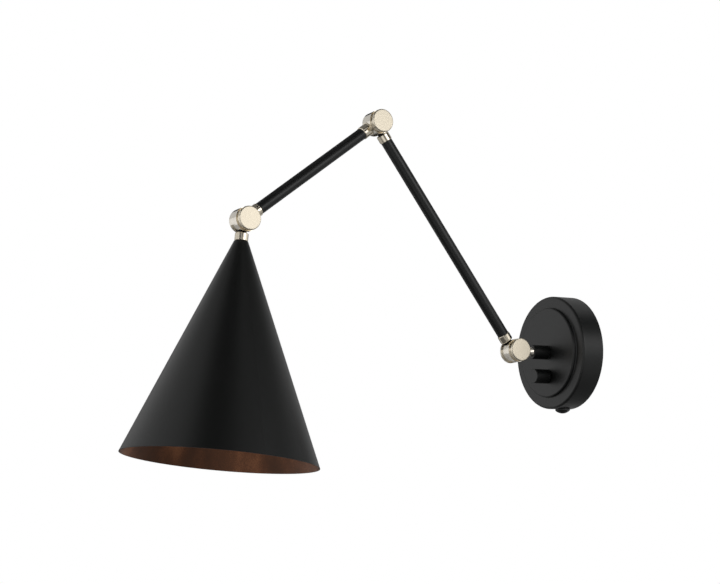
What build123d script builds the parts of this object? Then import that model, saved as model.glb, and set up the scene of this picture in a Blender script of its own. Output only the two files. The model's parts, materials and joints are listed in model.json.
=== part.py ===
from build123d import *
import os
from math import atan, ceil, cos, radians, sin, tan

# Accordion wall lamp: canopy on a wall bracket, two hinged arms, cone shade, rotary switch.
# Millimetres. The origin is the centre of the canopy on the wall plane y = 0.
# -Y points out into the room, +Z points up, and every arm hinge turns about a line along X.

# ---- canopy -------------------------------------------------------------------------------
CANOPY_DIAMETER = 120.0
CANOPY_DEPTH = 25.5           # wall to the face of the outer ring
CANOPY_WALL = 1.2             # pressed steel sheet
CANOPY_EDGE_RADIUS = 2.5      # outer front edge
PLATE_DIAMETER = 95.0         # raised round plate in the middle
PLATE_RISE = 3.6              # height of the plate above the outer ring
PLATE_EDGE_RADIUS = 1.7
PLATE_FOOT_RADIUS = 1.1       # hollow corner where the plate rises from the ring

# ---- wall bracket -------------------------------------------------------------------------
BRACKET_WIDTH = 26.0
BRACKET_SHEET = 1.8
BRACKET_GAP = 2.3             # tab to the canopy's inner wall, on the centre line
BRACKET_TAB_REACH = 18.0      # how far the tabs stand out from the wall
BOX_SCREW_SPACING = 88.9      # holes of a round ceiling or wall box
BOX_SLOT_LENGTH = 14.0
BOX_SLOT_WIDTH = 4.8
SUPPLY_HOLE_DIAMETER = 22.0
RETAINING_DISTANCE = 11.0     # wall to the axis of the thumb screw and the peg
THUMB_SCREW_DIAMETER = 4.0
THUMB_HEAD_DIAMETER = 15.5
THUMB_HEAD_HEIGHT = 4.6
THUMB_HEAD_BAND = 1.4         # straight band under the dome
PEG_DIAMETER = 3.5
EARTH_SCREW_DIAMETER = 4.0
EARTH_SCREW_OFFSET = (8.0, -20.0)     # sideways and up from the bracket's centre
EARTH_HEAD_DIAMETER = 8.0
EARTH_HEAD_HEIGHT = 2.4
EARTH_CROSS = (6.0, 0.7, 1.0)         # cross recess in the head: length, width, depth

# ---- terminal block -----------------------------------------------------------------------
BLOCK_SIZE = (22.0, 15.0, 12.5)       # sideways, up, out from the bracket
BLOCK_HEIGHT = 26.0                   # centre, above the bracket's centre
BLOCK_POLES = 3
BLOCK_CHAMFER = 1.2
BLOCK_ENTRY_HEIGHT = 4.2              # bracket to the axis of the wire entries
BLOCK_ENTRY_DIAMETER = 3.2
BLOCK_SCREW_DIAMETER = 3.0
BLOCK_SCREW_LENGTH = 4.4
BLOCK_SCREW_SINK = 1.9                # screw tops below the face of the block
BLOCK_SCREW_SLOT = (0.6, 1.0)         # width, depth

# ---- stem ---------------------------------------------------------------------------------
STEM_DIAMETER = 15.0
STEM_LENGTH = 20.0
STEM_CHAMFER = 0.4
PIPE_DIAMETER = 10.0          # threaded lamp pipe and every spigot of the same thread
PIPE_BORE = 6.0               # wire way through pipes, spigots and necks
PIPE_TAIL = 3.0               # pipe left over behind its nut
WASHER_DIAMETER = 18.0
WASHER_THICKNESS = 1.0
NUT_ACROSS_FLATS = 14.0
NUT_HEIGHT = 5.0

# ---- knuckles (one form, used three times) ------------------------------------------------
KNUCKLE_DIAMETER = 24.5
KNUCKLE_FRONT = 15.7          # arm plane to the face of the cap
KNUCKLE_REAR = 7.2            # arm plane to the closed rear of the barrel
REAR_EDGE_RADIUS = 1.5
REAR_WALL = 1.9
BARREL_WALL = 1.5             # thin, so the drum lies almost flush in the slot
SLOT_WIDTH = 9.8
NECK_DIAMETER = 9.0           # rotor neck where it runs in the slot
PIVOT_DIAMETER = 8.4          # boss that the rotor turns on
RIM_WIDTH = 4.4               # clamp ring's rim, flush with the barrel
CLAMP_WEB = 2.5               # clamp ring between the front washer and the spring
CLAMP_COLLAR_WALL = 1.4       # round the pocket for the spring and the screw head
GROOVE_DIAMETER = 20.5
CAP_DIAMETER = 24.0
CAP_THICKNESS = 2.0
CAP_EDGE_RADIUS = 1.3
CAP_SKIRT_LENGTH = 2.5
CAP_SKIRT_WALL = 0.9
FRICTION_WASHER = 0.5
SPRING_HEIGHT = 1.0
SPRING_THICKNESS = 0.5
SCREW_DIAMETER = 4.0
SCREW_HEAD_DIAMETER = 7.0
SCREW_HEAD_HEIGHT = 2.2
SCREW_SOCKET = 2.5            # hexagon socket across its flats
ROTOR_SHELL = 1.2             # walls of the hollow rotor
WINDOW_MARGIN = 20.0          # degrees that the rotor's window runs past the travel, for the wires
FERRULE_DIAMETER = 13.4
FERRULE_CHAMFER = 0.6
FERRULE_GAP = 0.75            # barrel to the ferrule that swings past it
LIP_WIDTH = 0.5               # lip at the foot of a ferrule that stands on a barrel
LIP_THICKNESS = 0.7
TUBE_START = 21.0             # hinge axis to the end of a tube, or to the top of the shade
SPIGOT_INSERT = 12.0          # spigot length inside a tube
STEM_NECK_DIAMETER = 10.4     # where the bare neck of the wall knuckle meets the stem
STEM_NECK_WAIST = 8.0
STEM_NECK_FLARE = 4.0         # length over which the neck widens to the stem

# ---- arms ---------------------------------------------------------------------------------
TUBE_DIAMETER = 12.0
TUBE_WALL = 1.0
WALL_PIVOT = 72.5             # wall to the hinge axis of the wall knuckle
LOWER_ARM = 280.0             # hinge axis to hinge axis
UPPER_ARM = 190.0
LOWER_ARM_ANGLE = 54.9        # above the horizontal, pointing out from the wall
UPPER_ARM_ANGLE = -36.35
SHADE_ANGLE = -83.0

# ---- travel: least and greatest angle between the two necks of each knuckle ----------------
WALL_KNUCKLE_TRAVEL = (95.0, 180.0)
ELBOW_KNUCKLE_TRAVEL = (70.0, 175.0)
SHADE_KNUCKLE_TRAVEL = (100.0, 169.0)
WALL_SLOT_RUN_ON = 66.0       # the wall knuckle's slot goes on past its travel, to the underside
STOP_GAP = 0.4                # neck to the end of its slot at either limit

# ---- shade and lamp holder ----------------------------------------------------------------
SHADE_TOP_DIAMETER = 14.0
SHADE_RIM_DIAMETER = 190.5
SHADE_HEIGHT = 213.5
SHADE_WALL = 1.0
SHADE_TOP_EDGE_RADIUS = 1.0
SEAT_HEIGHT = 6.0
SHADE_NUT_ACROSS_FLATS = 13.0
SHADE_NUT_HEIGHT = 4.0
HOLDER_DROP = 22.0            # top of the shade to the top of the lamp holder
HOLDER_NECK_DIAMETER = 17.0
HOLDER_NECK_HEIGHT = 4.0
HOLDER_DIAMETER = 34.0
HOLDER_DOME_HEIGHT = 12.0
HOLDER_SLEEVE_LENGTH = 42.0
HOLDER_WALL = 1.2
HOLDER_GRIP = 12.0            # pipe length inside the holder's cap
INSULATOR_HEIGHT = 9.0
INSULATOR_COLLAR = 4.0        # collar that holds the foot of the screw shell
LAMP_THREAD_DIAMETER = 26.4   # inside of the screw shell, for a medium lamp base
SCREW_SHELL_LENGTH = 27.0
SCREW_SHELL_SHEET = 0.5
CONTACT_DIAMETER = 9.0
CONTACT_HEIGHT = 3.0
CONTACT_WELL_WALL = 3.0       # round the contact, and how far its well goes below the screw shell

# ---- rotary switch and knob ---------------------------------------------------------------
KNOB_DROP = 25.6              # stem axis to knob axis
KNOB_DIAMETER = 15.1
KNOB_LENGTH = 18.1
KNOB_CHAMFER = 0.5
KNOB_WALL = 1.6               # round the hollow that hides the bushing nut
KNOB_RECESS = 5.0
KNOB_GAP = 0.5                # plate to knob
KNOB_SCREW_DIAMETER = 3.0
KNOB_SCREW_HEIGHT = 9.0       # knob's foot to its grub screw
SHAFT_DIAMETER = 5.0
SHAFT_LENGTH = 22.0
SHAFT_FLAT = 1.0              # depth of the flat on the shaft
SWITCH_DIAMETER = 19.0
SWITCH_DEPTH = 12.0
SWITCH_TAG = (1.0, 4.0, 3.0)  # solder tag: thickness, height, length behind the body
BUSHING_DIAMETER = 7.0
BUSHING_LENGTH = 4.6
BUSHING_NUT_ACROSS_FLATS = 9.5
BUSHING_NUT_HEIGHT = 2.0

# ---- clearances ---------------------------------------------------------------------------
RUNNING = 0.05                # radial, shaft in bearing
FACE_PLAY = 0.03              # flat faces that slide on each other
FIXED = 0.02                  # radial, fastened spigots and threads
HOLE_PLAY = 0.2               # radial, clearance holes


# ---- sizes that follow from the ones above ------------------------------------------------
plate_face = CANOPY_DEPTH + PLATE_RISE
canopy_radius = CANOPY_DIAMETER / 2
canopy_inside = canopy_radius - CANOPY_WALL
stem_end = plate_face + STEM_LENGTH
knuckle_radius = KNUCKLE_DIAMETER / 2
barrel_bore = knuckle_radius - BARREL_WALL
barrel_floor = REAR_WALL - KNUCKLE_REAR
barrel_front = SLOT_WIDTH / 2
rotor_radius = barrel_bore - RUNNING
rotor_rear = barrel_floor + FRICTION_WASHER + FACE_PLAY
rotor_front = barrel_front - FACE_PLAY
clamp_floor = rotor_front + FACE_PLAY + FRICTION_WASHER
pocket_floor = clamp_floor + CLAMP_WEB
rim_front = barrel_front + RIM_WIDTH
cap_rear = KNUCKLE_FRONT - CAP_THICKNESS
ferrule_start = knuckle_radius + FERRULE_GAP
pipe_radius = PIPE_DIAMETER / 2
pipe_bore = PIPE_BORE / 2
shade_slope = atan((SHADE_RIM_DIAMETER - SHADE_TOP_DIAMETER) / 2 / SHADE_HEIGHT)
shade_end = TUBE_START + SHADE_HEIGHT
holder_top = TUBE_START + HOLDER_DROP


def turned(points):
    """Solid turned about Z from a closed outline of (radius, height) points."""
    outline = Polyline(*[(radius, 0, height) for radius, height in points], close=True)
    return revolve(make_face(outline), Axis.Z)


def ring(outer, inner, low, high):
    """Round ring or tube about Z."""
    return turned([(inner, low), (outer, low), (outer, high), (inner, high)])


def rod(radius, low, high):
    """Round bar about Z."""
    return Pos(0, 0, low) * Cylinder(radius, high - low, align=(Align.CENTER, Align.CENTER, Align.MIN))


def hexagon(across_flats, low, high):
    """Hexagonal bar about Z with its outer corners broken."""
    corner = across_flats / 2 / cos(radians(30))
    bar = Pos(0, 0, low) * extrude(RegularPolygon(corner, 6), high - low)
    slant = corner - across_flats / 2
    blank = turned([(0, low), (corner - slant, low), (corner, low + slant / 2),
                    (corner, high - slant / 2), (corner - slant, high), (0, high)])
    return bar & blank


def on_wall(shape):
    """Z becomes the distance out from the wall, and Y becomes up."""
    return Rot(90, 0, 0) * shape


def across(shape):
    """Z becomes X, the direction of every hinge axis."""
    return Rot(0, 90, 0) * shape


def direction(angle):
    """Unit step in the arm plane, at an angle above the outward horizontal."""
    return Vector(0, -cos(radians(angle)), sin(radians(angle)))


def place(shape, pivot, angle):
    """Puts a shape made about a hinge at the origin, with its neck along Z, where it belongs."""
    return Pos(*pivot) * Rot(90 - angle, 0, 0) * shape


wall_pivot = Vector(0, -WALL_PIVOT, 0)
elbow_pivot = wall_pivot + direction(LOWER_ARM_ANGLE) * LOWER_ARM
shade_pivot = elbow_pivot + direction(UPPER_ARM_ANGLE) * UPPER_ARM


# ---- wall side ----------------------------------------------------------------------------
def stepped_cup(outer, depth, plate, face, edge_radius, plate_radius, foot_radius):
    """Round block with a raised plate on it, its three corners rounded."""
    cup = turned([(0, 0), (outer, 0), (outer, depth), (plate, depth), (plate, face), (0, face)])
    for radius, height, blend in ((outer, depth, edge_radius), (plate, face, plate_radius),
                                  (plate, depth, foot_radius)):
        rims = cup.edges().filter_by(GeomType.CIRCLE).filter_by_position(Axis.Z, height, height)
        cup = fillet(rims.sort_by(lambda rim: abs(rim.radius - radius))[0], blend)
    return cup


def canopy():
    depth, sheet, plate = CANOPY_DEPTH, CANOPY_WALL, PLATE_DIAMETER / 2
    shell = stepped_cup(canopy_radius, depth, plate, plate_face,
                        CANOPY_EDGE_RADIUS, PLATE_EDGE_RADIUS, PLATE_FOOT_RADIUS)
    shell = shell - stepped_cup(canopy_inside, depth - sheet, plate - sheet, plate_face - sheet,
                                CANOPY_EDGE_RADIUS - sheet, PLATE_EDGE_RADIUS - sheet,
                                PLATE_FOOT_RADIUS + sheet)
    shell = shell - rod(pipe_radius + HOLE_PLAY, depth, plate_face)
    shell = shell - Pos(0, -KNOB_DROP, 0) * rod(BUSHING_DIAMETER / 2 + HOLE_PLAY, depth, plate_face)
    thumb_hole = rod(THUMB_SCREW_DIAMETER / 2 + HOLE_PLAY, canopy_inside - sheet, canopy_radius + sheet)
    peg_hole = rod(PEG_DIAMETER / 2 + HOLE_PLAY, canopy_inside - sheet, canopy_radius + sheet)
    shell = shell - Pos(0, 0, RETAINING_DISTANCE) * Rot(90, 0, 0) * thumb_hole
    shell = shell - Pos(0, 0, RETAINING_DISTANCE) * Rot(-90, 0, 0) * peg_hole
    return on_wall(shell)


def wall_bracket():
    tab_face = canopy_inside - BRACKET_GAP
    bar = Pos(0, 0, BRACKET_SHEET / 2) * Box(BRACKET_WIDTH, 2 * tab_face, BRACKET_SHEET)
    for side in (-1, 1):
        middle = side * (tab_face - BRACKET_SHEET / 2)
        tab = Box(BRACKET_WIDTH, BRACKET_SHEET, BRACKET_TAB_REACH)
        bar = bar + Pos(0, middle, BRACKET_TAB_REACH / 2) * tab
        slot = extrude(SlotOverall(BOX_SLOT_LENGTH, BOX_SLOT_WIDTH, rotation=90), BRACKET_SHEET)
        bar = bar - Pos(0, side * BOX_SCREW_SPACING / 2, 0) * slot
    bends = bar.edges().filter_by(Axis.X).filter_by_position(Axis.Z, 0, 0)
    bar = fillet(bends, BRACKET_SHEET)
    bar = bar - rod(SUPPLY_HOLE_DIAMETER / 2, 0, BRACKET_SHEET)
    earth_hole = rod(EARTH_SCREW_DIAMETER / 2 + FIXED, 0, BRACKET_SHEET)
    bar = bar - Pos(*EARTH_SCREW_OFFSET, 0) * earth_hole
    retaining = Pos(0, 0, RETAINING_DISTANCE)
    bar = bar - retaining * Rot(90, 0, 0) * rod(THUMB_SCREW_DIAMETER / 2 + FIXED, 0, canopy_inside)
    bar = bar - retaining * Rot(-90, 0, 0) * rod(PEG_DIAMETER / 2 + FIXED, 0, canopy_inside)
    return on_wall(bar)


def thumb_screw():
    shank = THUMB_SCREW_DIAMETER / 2
    head = THUMB_HEAD_DIAMETER / 2
    rise = THUMB_HEAD_HEIGHT - THUMB_HEAD_BAND
    seat = canopy_radius + FIXED
    tip = canopy_inside - BRACKET_GAP - 2 * BRACKET_SHEET
    ball = (head ** 2 + rise ** 2) / (2 * rise)
    top = seat + THUMB_HEAD_HEIGHT
    dome = Pos(0, 0, top - ball) * Sphere(ball) & rod(head, seat, top)
    screw = dome + rod(shank, tip, seat)
    return on_wall(Pos(0, 0, RETAINING_DISTANCE) * Rot(90, 0, 0) * screw)


def locating_peg():
    peg = PEG_DIAMETER / 2
    foot = canopy_inside - BRACKET_GAP - BRACKET_SHEET
    pin = rod(peg, foot, canopy_radius) + rod(peg + BRACKET_SHEET / 2, foot - BRACKET_SHEET / 2, foot)
    return on_wall(Pos(0, 0, RETAINING_DISTANCE) * Rot(-90, 0, 0) * pin)


def earth_screw():
    top = BRACKET_SHEET + EARTH_HEAD_HEIGHT
    length, width, depth = EARTH_CROSS
    cross = Box(length, width, 2 * depth) + Box(width, length, 2 * depth)
    head = rod(EARTH_HEAD_DIAMETER / 2, BRACKET_SHEET, top) - Pos(0, 0, top) * cross
    return on_wall(Pos(*EARTH_SCREW_OFFSET, 0) * (head + rod(EARTH_SCREW_DIAMETER / 2, 0, BRACKET_SHEET)))


def block_pole_positions():
    pitch = BLOCK_SIZE[0] / BLOCK_POLES
    return [(pole - (BLOCK_POLES - 1) / 2) * pitch for pole in range(BLOCK_POLES)]


def terminal_block():
    width, height, depth = BLOCK_SIZE
    low = BRACKET_SHEET
    body = Pos(0, 0, low + depth / 2) * Box(width, height, depth)
    body = chamfer(body.edges().filter_by(Axis.Y).group_by(Axis.Z)[-1], BLOCK_CHAMFER)
    entry = BLOCK_ENTRY_DIAMETER / 2
    well = BLOCK_SCREW_DIAMETER / 2 + FIXED
    for pole in block_pole_positions():
        body = body - Pos(pole, 0, low + BLOCK_ENTRY_HEIGHT) * Rot(90, 0, 0) * Cylinder(entry, height)
        body = body - Pos(pole, 0, 0) * rod(well, low + BLOCK_ENTRY_HEIGHT, low + depth)
    return on_wall(Pos(0, BLOCK_HEIGHT, 0) * body)


def terminal_screws():
    top = BRACKET_SHEET + BLOCK_SIZE[2] - BLOCK_SCREW_SINK
    width, depth = BLOCK_SCREW_SLOT
    screw = rod(BLOCK_SCREW_DIAMETER / 2, top - BLOCK_SCREW_LENGTH, top)
    screw = screw - Pos(0, 0, top) * Box(BLOCK_SCREW_DIAMETER, width, 2 * depth)
    return [on_wall(Pos(pole, BLOCK_HEIGHT, 0) * screw) for pole in block_pole_positions()]


pipe_nut_face = plate_face - CANOPY_WALL - WASHER_THICKNESS
pipe_joint = plate_face + STEM_LENGTH / 2


def stem_pipe():
    tail_end = pipe_nut_face - NUT_HEIGHT - PIPE_TAIL
    return on_wall(ring(pipe_radius, pipe_bore, tail_end, pipe_joint - FIXED))


def stem_washer():
    outer, inner = WASHER_DIAMETER / 2, pipe_radius + FIXED
    return on_wall(ring(outer, inner, pipe_nut_face, plate_face - CANOPY_WALL))


def stem_nut():
    nut = hexagon(NUT_ACROSS_FLATS, pipe_nut_face - NUT_HEIGHT, pipe_nut_face)
    return on_wall(nut - rod(pipe_radius + FIXED, pipe_nut_face - NUT_HEIGHT, pipe_nut_face))


def stem():
    sleeve = ring(STEM_DIAMETER / 2, pipe_radius + FIXED, plate_face, stem_end)
    return on_wall(chamfer(sleeve.edges().group_by(Axis.Z)[-1].sort_by(SortBy.RADIUS)[-1], STEM_CHAMFER))


# ---- rotary switch ------------------------------------------------------------------------
switch_axis = Pos(0, -KNOB_DROP, 0)
plate_back = plate_face - CANOPY_WALL
knob_foot = plate_face + KNOB_GAP


def switch_body():
    body = rod(SWITCH_DIAMETER / 2, plate_back - SWITCH_DEPTH, plate_back)
    body = body + rod(BUSHING_DIAMETER / 2, plate_back, plate_back + BUSHING_LENGTH)
    body = body - rod(SHAFT_DIAMETER / 2 + RUNNING, shaft_rear - FACE_PLAY, plate_back + BUSHING_LENGTH)
    thickness, height, length = SWITCH_TAG
    for side in (-1, 1):
        foot = Pos(side * SWITCH_DIAMETER / 4, 0, plate_back - SWITCH_DEPTH)
        body = body + foot * Box(thickness, height, 2 * length)
    return on_wall(switch_axis * body)


def bushing_nut():
    nut = hexagon(BUSHING_NUT_ACROSS_FLATS, plate_face, plate_face + BUSHING_NUT_HEIGHT)
    nut = nut - rod(BUSHING_DIAMETER / 2 + FIXED, plate_face, plate_face + BUSHING_NUT_HEIGHT)
    return on_wall(switch_axis * nut)


shaft_front = knob_foot + KNOB_LENGTH - 2 * KNOB_WALL
shaft_rear = shaft_front - SHAFT_LENGTH
knob_screw_face = SHAFT_DIAMETER / 2 - SHAFT_FLAT


def switch_shaft():
    shaft = rod(SHAFT_DIAMETER / 2, shaft_rear, shaft_front)
    flat_low = plate_back + BUSHING_LENGTH + KNOB_GAP
    flat = Pos(0, -knob_screw_face - SHAFT_DIAMETER / 2, (flat_low + shaft_front) / 2)
    shaft = shaft - flat * Box(SHAFT_DIAMETER, SHAFT_DIAMETER, shaft_front - flat_low)
    return on_wall(switch_axis * shaft)


def knob():
    top = knob_foot + KNOB_LENGTH
    body = rod(KNOB_DIAMETER / 2, knob_foot, top)
    body = chamfer(body.edges().filter_by(GeomType.CIRCLE), KNOB_CHAMFER)
    body = body - rod(KNOB_DIAMETER / 2 - KNOB_WALL, knob_foot, knob_foot + KNOB_RECESS)
    body = body - rod(SHAFT_DIAMETER / 2 + FIXED, knob_foot, shaft_front + FIXED)
    hole = rod(KNOB_SCREW_DIAMETER / 2 + FIXED, 0, KNOB_DIAMETER)
    body = body - Pos(0, 0, knob_foot + KNOB_SCREW_HEIGHT) * Rot(90, 0, 0) * hole
    return on_wall(switch_axis * body)


def knob_grub_screw():
    reach = KNOB_DIAMETER / 2 - KNOB_CHAMFER
    screw = rod(KNOB_SCREW_DIAMETER / 2, knob_screw_face, reach)
    screw = screw - hexagon(KNOB_SCREW_DIAMETER / 2, reach - KNOB_SCREW_DIAMETER / 2, reach)
    screw = Pos(0, 0, knob_foot + KNOB_SCREW_HEIGHT) * Rot(90, 0, 0) * screw
    return on_wall(switch_axis * screw)


# ---- knuckle pieces, made about a hinge at the origin, neck along Z -----------------------
def sector(inner, outer, width, start, stop, turn):
    """Piece of a ring about the hinge, from one angle to another, measured from the neck towards turn."""
    half = width / 2
    band = Polyline((-half, 0, inner), (half, 0, inner), (half, 0, outer), (-half, 0, outer), close=True)
    sweep = revolve(make_face(band), Axis.X, stop - start)
    return Rot(start if turn > 0 else -stop, 0, 0) * sweep


def rear_rounded(radius, rear, front):
    """Bar about Z from its rounded rear edge, at -rear, to its front."""
    bar = rod(radius, -rear, front)
    return fillet(bar.edges().filter_by(GeomType.CIRCLE).sort_by(Axis.Z)[0], REAR_EDGE_RADIUS)


def barrel(travel, turn, run_on, waist_diameter, flare, neck_diameter, neck_end, spigot_end):
    """Slotted cup with a boss for the rotor. The slot lies on the side given by turn, +1 or -1."""
    waist_end = neck_end - flare
    neck = rod(waist_diameter / 2, 0, waist_end) + rod(pipe_radius, neck_end, spigot_end)
    waist, outer = waist_diameter / 2, neck_diameter / 2
    neck = neck + turned([(0, waist_end), (waist, waist_end), (outer, neck_end), (0, neck_end)])
    neck = neck - across(rod(knuckle_radius + FERRULE_GAP / 2, barrel_front, KNUCKLE_FRONT))
    cup = across(rear_rounded(knuckle_radius, KNUCKLE_REAR, barrel_front)) + neck
    cup = cup - across(rod(barrel_bore, barrel_floor, barrel_front))
    cup = cup + across(ring(PIVOT_DIAMETER / 2, SCREW_DIAMETER / 2 + FIXED, barrel_floor, rotor_front))
    cup = cup - rod(pipe_bore, PIVOT_DIAMETER / 2 + FERRULE_GAP, spigot_end)
    low, high = barrel_bore / 2, knuckle_radius + FERRULE_GAP
    ends = travel[0], travel[1] + run_on
    slot = sector(barrel_bore - RUNNING, high, SLOT_WIDTH, *ends, turn)
    end = Box(SLOT_WIDTH, NECK_DIAMETER + 2 * STOP_GAP, high - low)
    end = Pos(0, 0, (low + high) / 2) * end
    for limit in ends:
        slot = slot + Rot(turn * limit, 0, 0) * end
    return cup - slot


def rotor(travel, turn, spigot_end):
    """Hollow drum on the boss, with a neck through the slot and a window that faces the barrel's neck."""
    hub = PIVOT_DIAMETER / 2 + RUNNING
    low, high = rotor_rear + ROTOR_SHELL, rotor_front - ROTOR_SHELL
    drum = ring(rotor_radius, hub, rotor_rear, rotor_front)
    drum = across(drum - ring(rotor_radius - ROTOR_SHELL, hub + ROTOR_SHELL, low, high))
    start, stop = travel[0] - WINDOW_MARGIN, travel[1] + WINDOW_MARGIN
    drum = drum - sector(hub + ROTOR_SHELL, knuckle_radius, PIPE_BORE, start, stop, -turn)
    neck = rod(NECK_DIAMETER / 2, hub + ROTOR_SHELL / 2, ferrule_start)
    neck = neck + rod(pipe_radius, ferrule_start, spigot_end)
    return drum + neck - rod(pipe_bore, hub + ROTOR_SHELL / 2, spigot_end)


def friction_washers():
    """Pair of rings that the rotor is squeezed between."""
    inner, outer = PIVOT_DIAMETER / 2 + FIXED, barrel_bore - HOLE_PLAY
    rear = ring(outer, inner, barrel_floor, barrel_floor + FRICTION_WASHER)
    front = ring(outer, SCREW_DIAMETER / 2 + FIXED, rotor_front + FACE_PLAY, clamp_floor)
    return [across(rear), across(front)]


def clamp_ring():
    """Stepped ring that the screw draws on to the front washer. It closes the open side of the slot."""
    outer, step = knuckle_radius, GROOVE_DIAMETER / 2
    pocket = step - CLAMP_COLLAR_WALL
    return across(turned([(barrel_bore, barrel_front + FACE_PLAY), (outer, barrel_front + FACE_PLAY),
                          (outer, rim_front), (step, rim_front), (step, cap_rear), (pocket, cap_rear),
                          (pocket, pocket_floor), (SCREW_DIAMETER / 2 + FIXED, pocket_floor),
                          (SCREW_DIAMETER / 2 + FIXED, clamp_floor), (barrel_bore, clamp_floor)]))


def spring_washer():
    """Cupped spring under the head of the hinge screw."""
    low = pocket_floor
    inner, outer = SCREW_DIAMETER / 2 + FIXED, SCREW_HEAD_DIAMETER / 2 + SPRING_HEIGHT
    lift = SPRING_HEIGHT - SPRING_THICKNESS
    return across(turned([(inner, low + lift), (outer, low),
                          (outer, low + SPRING_THICKNESS), (inner, low + SPRING_HEIGHT)]))


def hinge_screw():
    seat = pocket_floor + SPRING_HEIGHT
    screw = rod(SCREW_DIAMETER / 2, barrel_floor + FACE_PLAY, seat)
    screw = screw + rod(SCREW_HEAD_DIAMETER / 2, seat, seat + SCREW_HEAD_HEIGHT)
    return across(screw - hexagon(SCREW_SOCKET, seat + SCREW_HEAD_HEIGHT / 3, seat + SCREW_HEAD_HEIGHT))


def cap():
    """Plain disc with a rounded edge, pressed into the clamp ring."""
    disc = rod(CAP_DIAMETER / 2, cap_rear, KNUCKLE_FRONT)
    disc = fillet(disc.edges().filter_by(GeomType.CIRCLE).sort_by(Axis.Z)[-1], CAP_EDGE_RADIUS)
    skirt = GROOVE_DIAMETER / 2 - CLAMP_COLLAR_WALL - FIXED
    return across(disc + ring(skirt, skirt - CAP_SKIRT_WALL, cap_rear - CAP_SKIRT_LENGTH, cap_rear))


def ferrule(start):
    """Collar on a spigot, with bevelled ends, up to the end of the tube."""
    outer, inner, bevel = FERRULE_DIAMETER / 2, pipe_radius + FIXED, FERRULE_CHAMFER
    return turned([(inner, start), (outer - bevel, start), (outer, start + bevel),
                   (outer, TUBE_START - bevel), (outer - bevel, TUBE_START), (inner, TUBE_START)])


def coped_ferrule():
    """Collar with a thin lip, both cut to the round of the barrel that they stand on."""
    foot = knuckle_radius / 2
    lip = rod(FERRULE_DIAMETER / 2 + LIP_WIDTH, foot, ferrule_start)
    lip = lip & across(rod(knuckle_radius + LIP_THICKNESS, -KNUCKLE_FRONT, KNUCKLE_FRONT))
    lip = lip - rod(pipe_radius + FIXED, foot, ferrule_start)
    seat = rear_rounded(knuckle_radius + FIXED, KNUCKLE_REAR + FIXED, KNUCKLE_FRONT)
    return ferrule(foot) + lip - across(seat)


def arm_tube(length):
    outer, play = TUBE_DIAMETER / 2, TUBE_START + FIXED
    return ring(outer, outer - TUBE_WALL, play, length - play)


spigot_end = TUBE_START + SPIGOT_INSERT


# ---- shade and lamp holder, made about the shade hinge, with the axis along Z --------------
def shade_inside(height):
    """Inner radius of the cone at a height measured from its hinge."""
    outer = SHADE_TOP_DIAMETER / 2 + (height - TUBE_START) * tan(shade_slope)
    return outer - SHADE_WALL / cos(shade_slope)


def shade():
    low, high = TUBE_START, shade_end
    top, rim = SHADE_TOP_DIAMETER / 2, SHADE_RIM_DIAMETER / 2
    cone = turned([(0, low), (top, low), (rim, high), (0, high)])
    cone = fillet(cone.edges().filter_by(GeomType.CIRCLE).sort_by(Axis.Z)[0], SHADE_TOP_EDGE_RADIUS)
    roof = low + SHADE_WALL
    cone = cone - turned([(0, roof), (shade_inside(roof), roof), (shade_inside(high), high), (0, high)])
    return cone - rod(pipe_radius + HOLE_PLAY, low, roof)


def shade_seat():
    """Tapered ring that spreads the nut's pull inside the top of the cone."""
    low = TUBE_START + SHADE_WALL + FIXED
    high = low + SEAT_HEIGHT
    inner = pipe_radius + FIXED
    return turned([(inner, low), (shade_inside(low) - FIXED, low),
                   (shade_inside(high) - FIXED, high), (inner, high)])


seat_end = TUBE_START + SHADE_WALL + FIXED + SEAT_HEIGHT


def shade_nut():
    nut = hexagon(SHADE_NUT_ACROSS_FLATS, seat_end, seat_end + SHADE_NUT_HEIGHT)
    return nut - rod(pipe_radius + FIXED, seat_end, seat_end + SHADE_NUT_HEIGHT)


dome_end = holder_top + HOLDER_DOME_HEIGHT
grip_end = holder_top + HOLDER_GRIP - HOLDER_WALL


def holder_cap():
    neck, outer = HOLDER_NECK_DIAMETER / 2, HOLDER_DIAMETER / 2
    shoulder = holder_top + HOLDER_NECK_HEIGHT
    wall = HOLDER_WALL
    bore = pipe_radius + FIXED
    return turned([(bore, holder_top), (neck, holder_top), (neck, shoulder), (outer, dome_end),
                   (outer - wall, dome_end), (neck - wall, shoulder + wall),
                   (neck - wall, grip_end), (bore, grip_end)])


def holder_sleeve():
    outer = HOLDER_DIAMETER / 2
    return ring(outer, outer - HOLDER_WALL, dome_end, dome_end + HOLDER_SLEEVE_LENGTH)


insulator_top = dome_end + HOLDER_WALL
shell_radius = LAMP_THREAD_DIAMETER / 2
insulator_end = insulator_top + INSULATOR_HEIGHT
well_floor = insulator_end - CONTACT_WELL_WALL


def holder_insulator():
    """Ceramic body in the sleeve, with a collar round the screw shell and a well for the contact."""
    outer = HOLDER_DIAMETER / 2 - HOLDER_WALL - FIXED
    collar = shell_radius + SCREW_SHELL_SHEET + FIXED
    well, top = CONTACT_DIAMETER / 2 + CONTACT_WELL_WALL, insulator_end + INSULATOR_COLLAR
    return turned([(0, insulator_top), (outer, insulator_top), (outer, top), (collar, top),
                   (collar, insulator_end), (well, insulator_end), (well, well_floor), (0, well_floor)])


def screw_shell():
    low = insulator_end
    return ring(shell_radius + SCREW_SHELL_SHEET, shell_radius, low, low + SCREW_SHELL_LENGTH)


def centre_contact():
    """Domed spring contact on the floor of the well."""
    radius, height = CONTACT_DIAMETER / 2, CONTACT_HEIGHT
    ball = (radius ** 2 + height ** 2) / (2 * height)
    dome = Pos(0, 0, well_floor + height - ball) * Sphere(ball)
    return dome & rod(radius, well_floor, well_floor + height)


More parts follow.
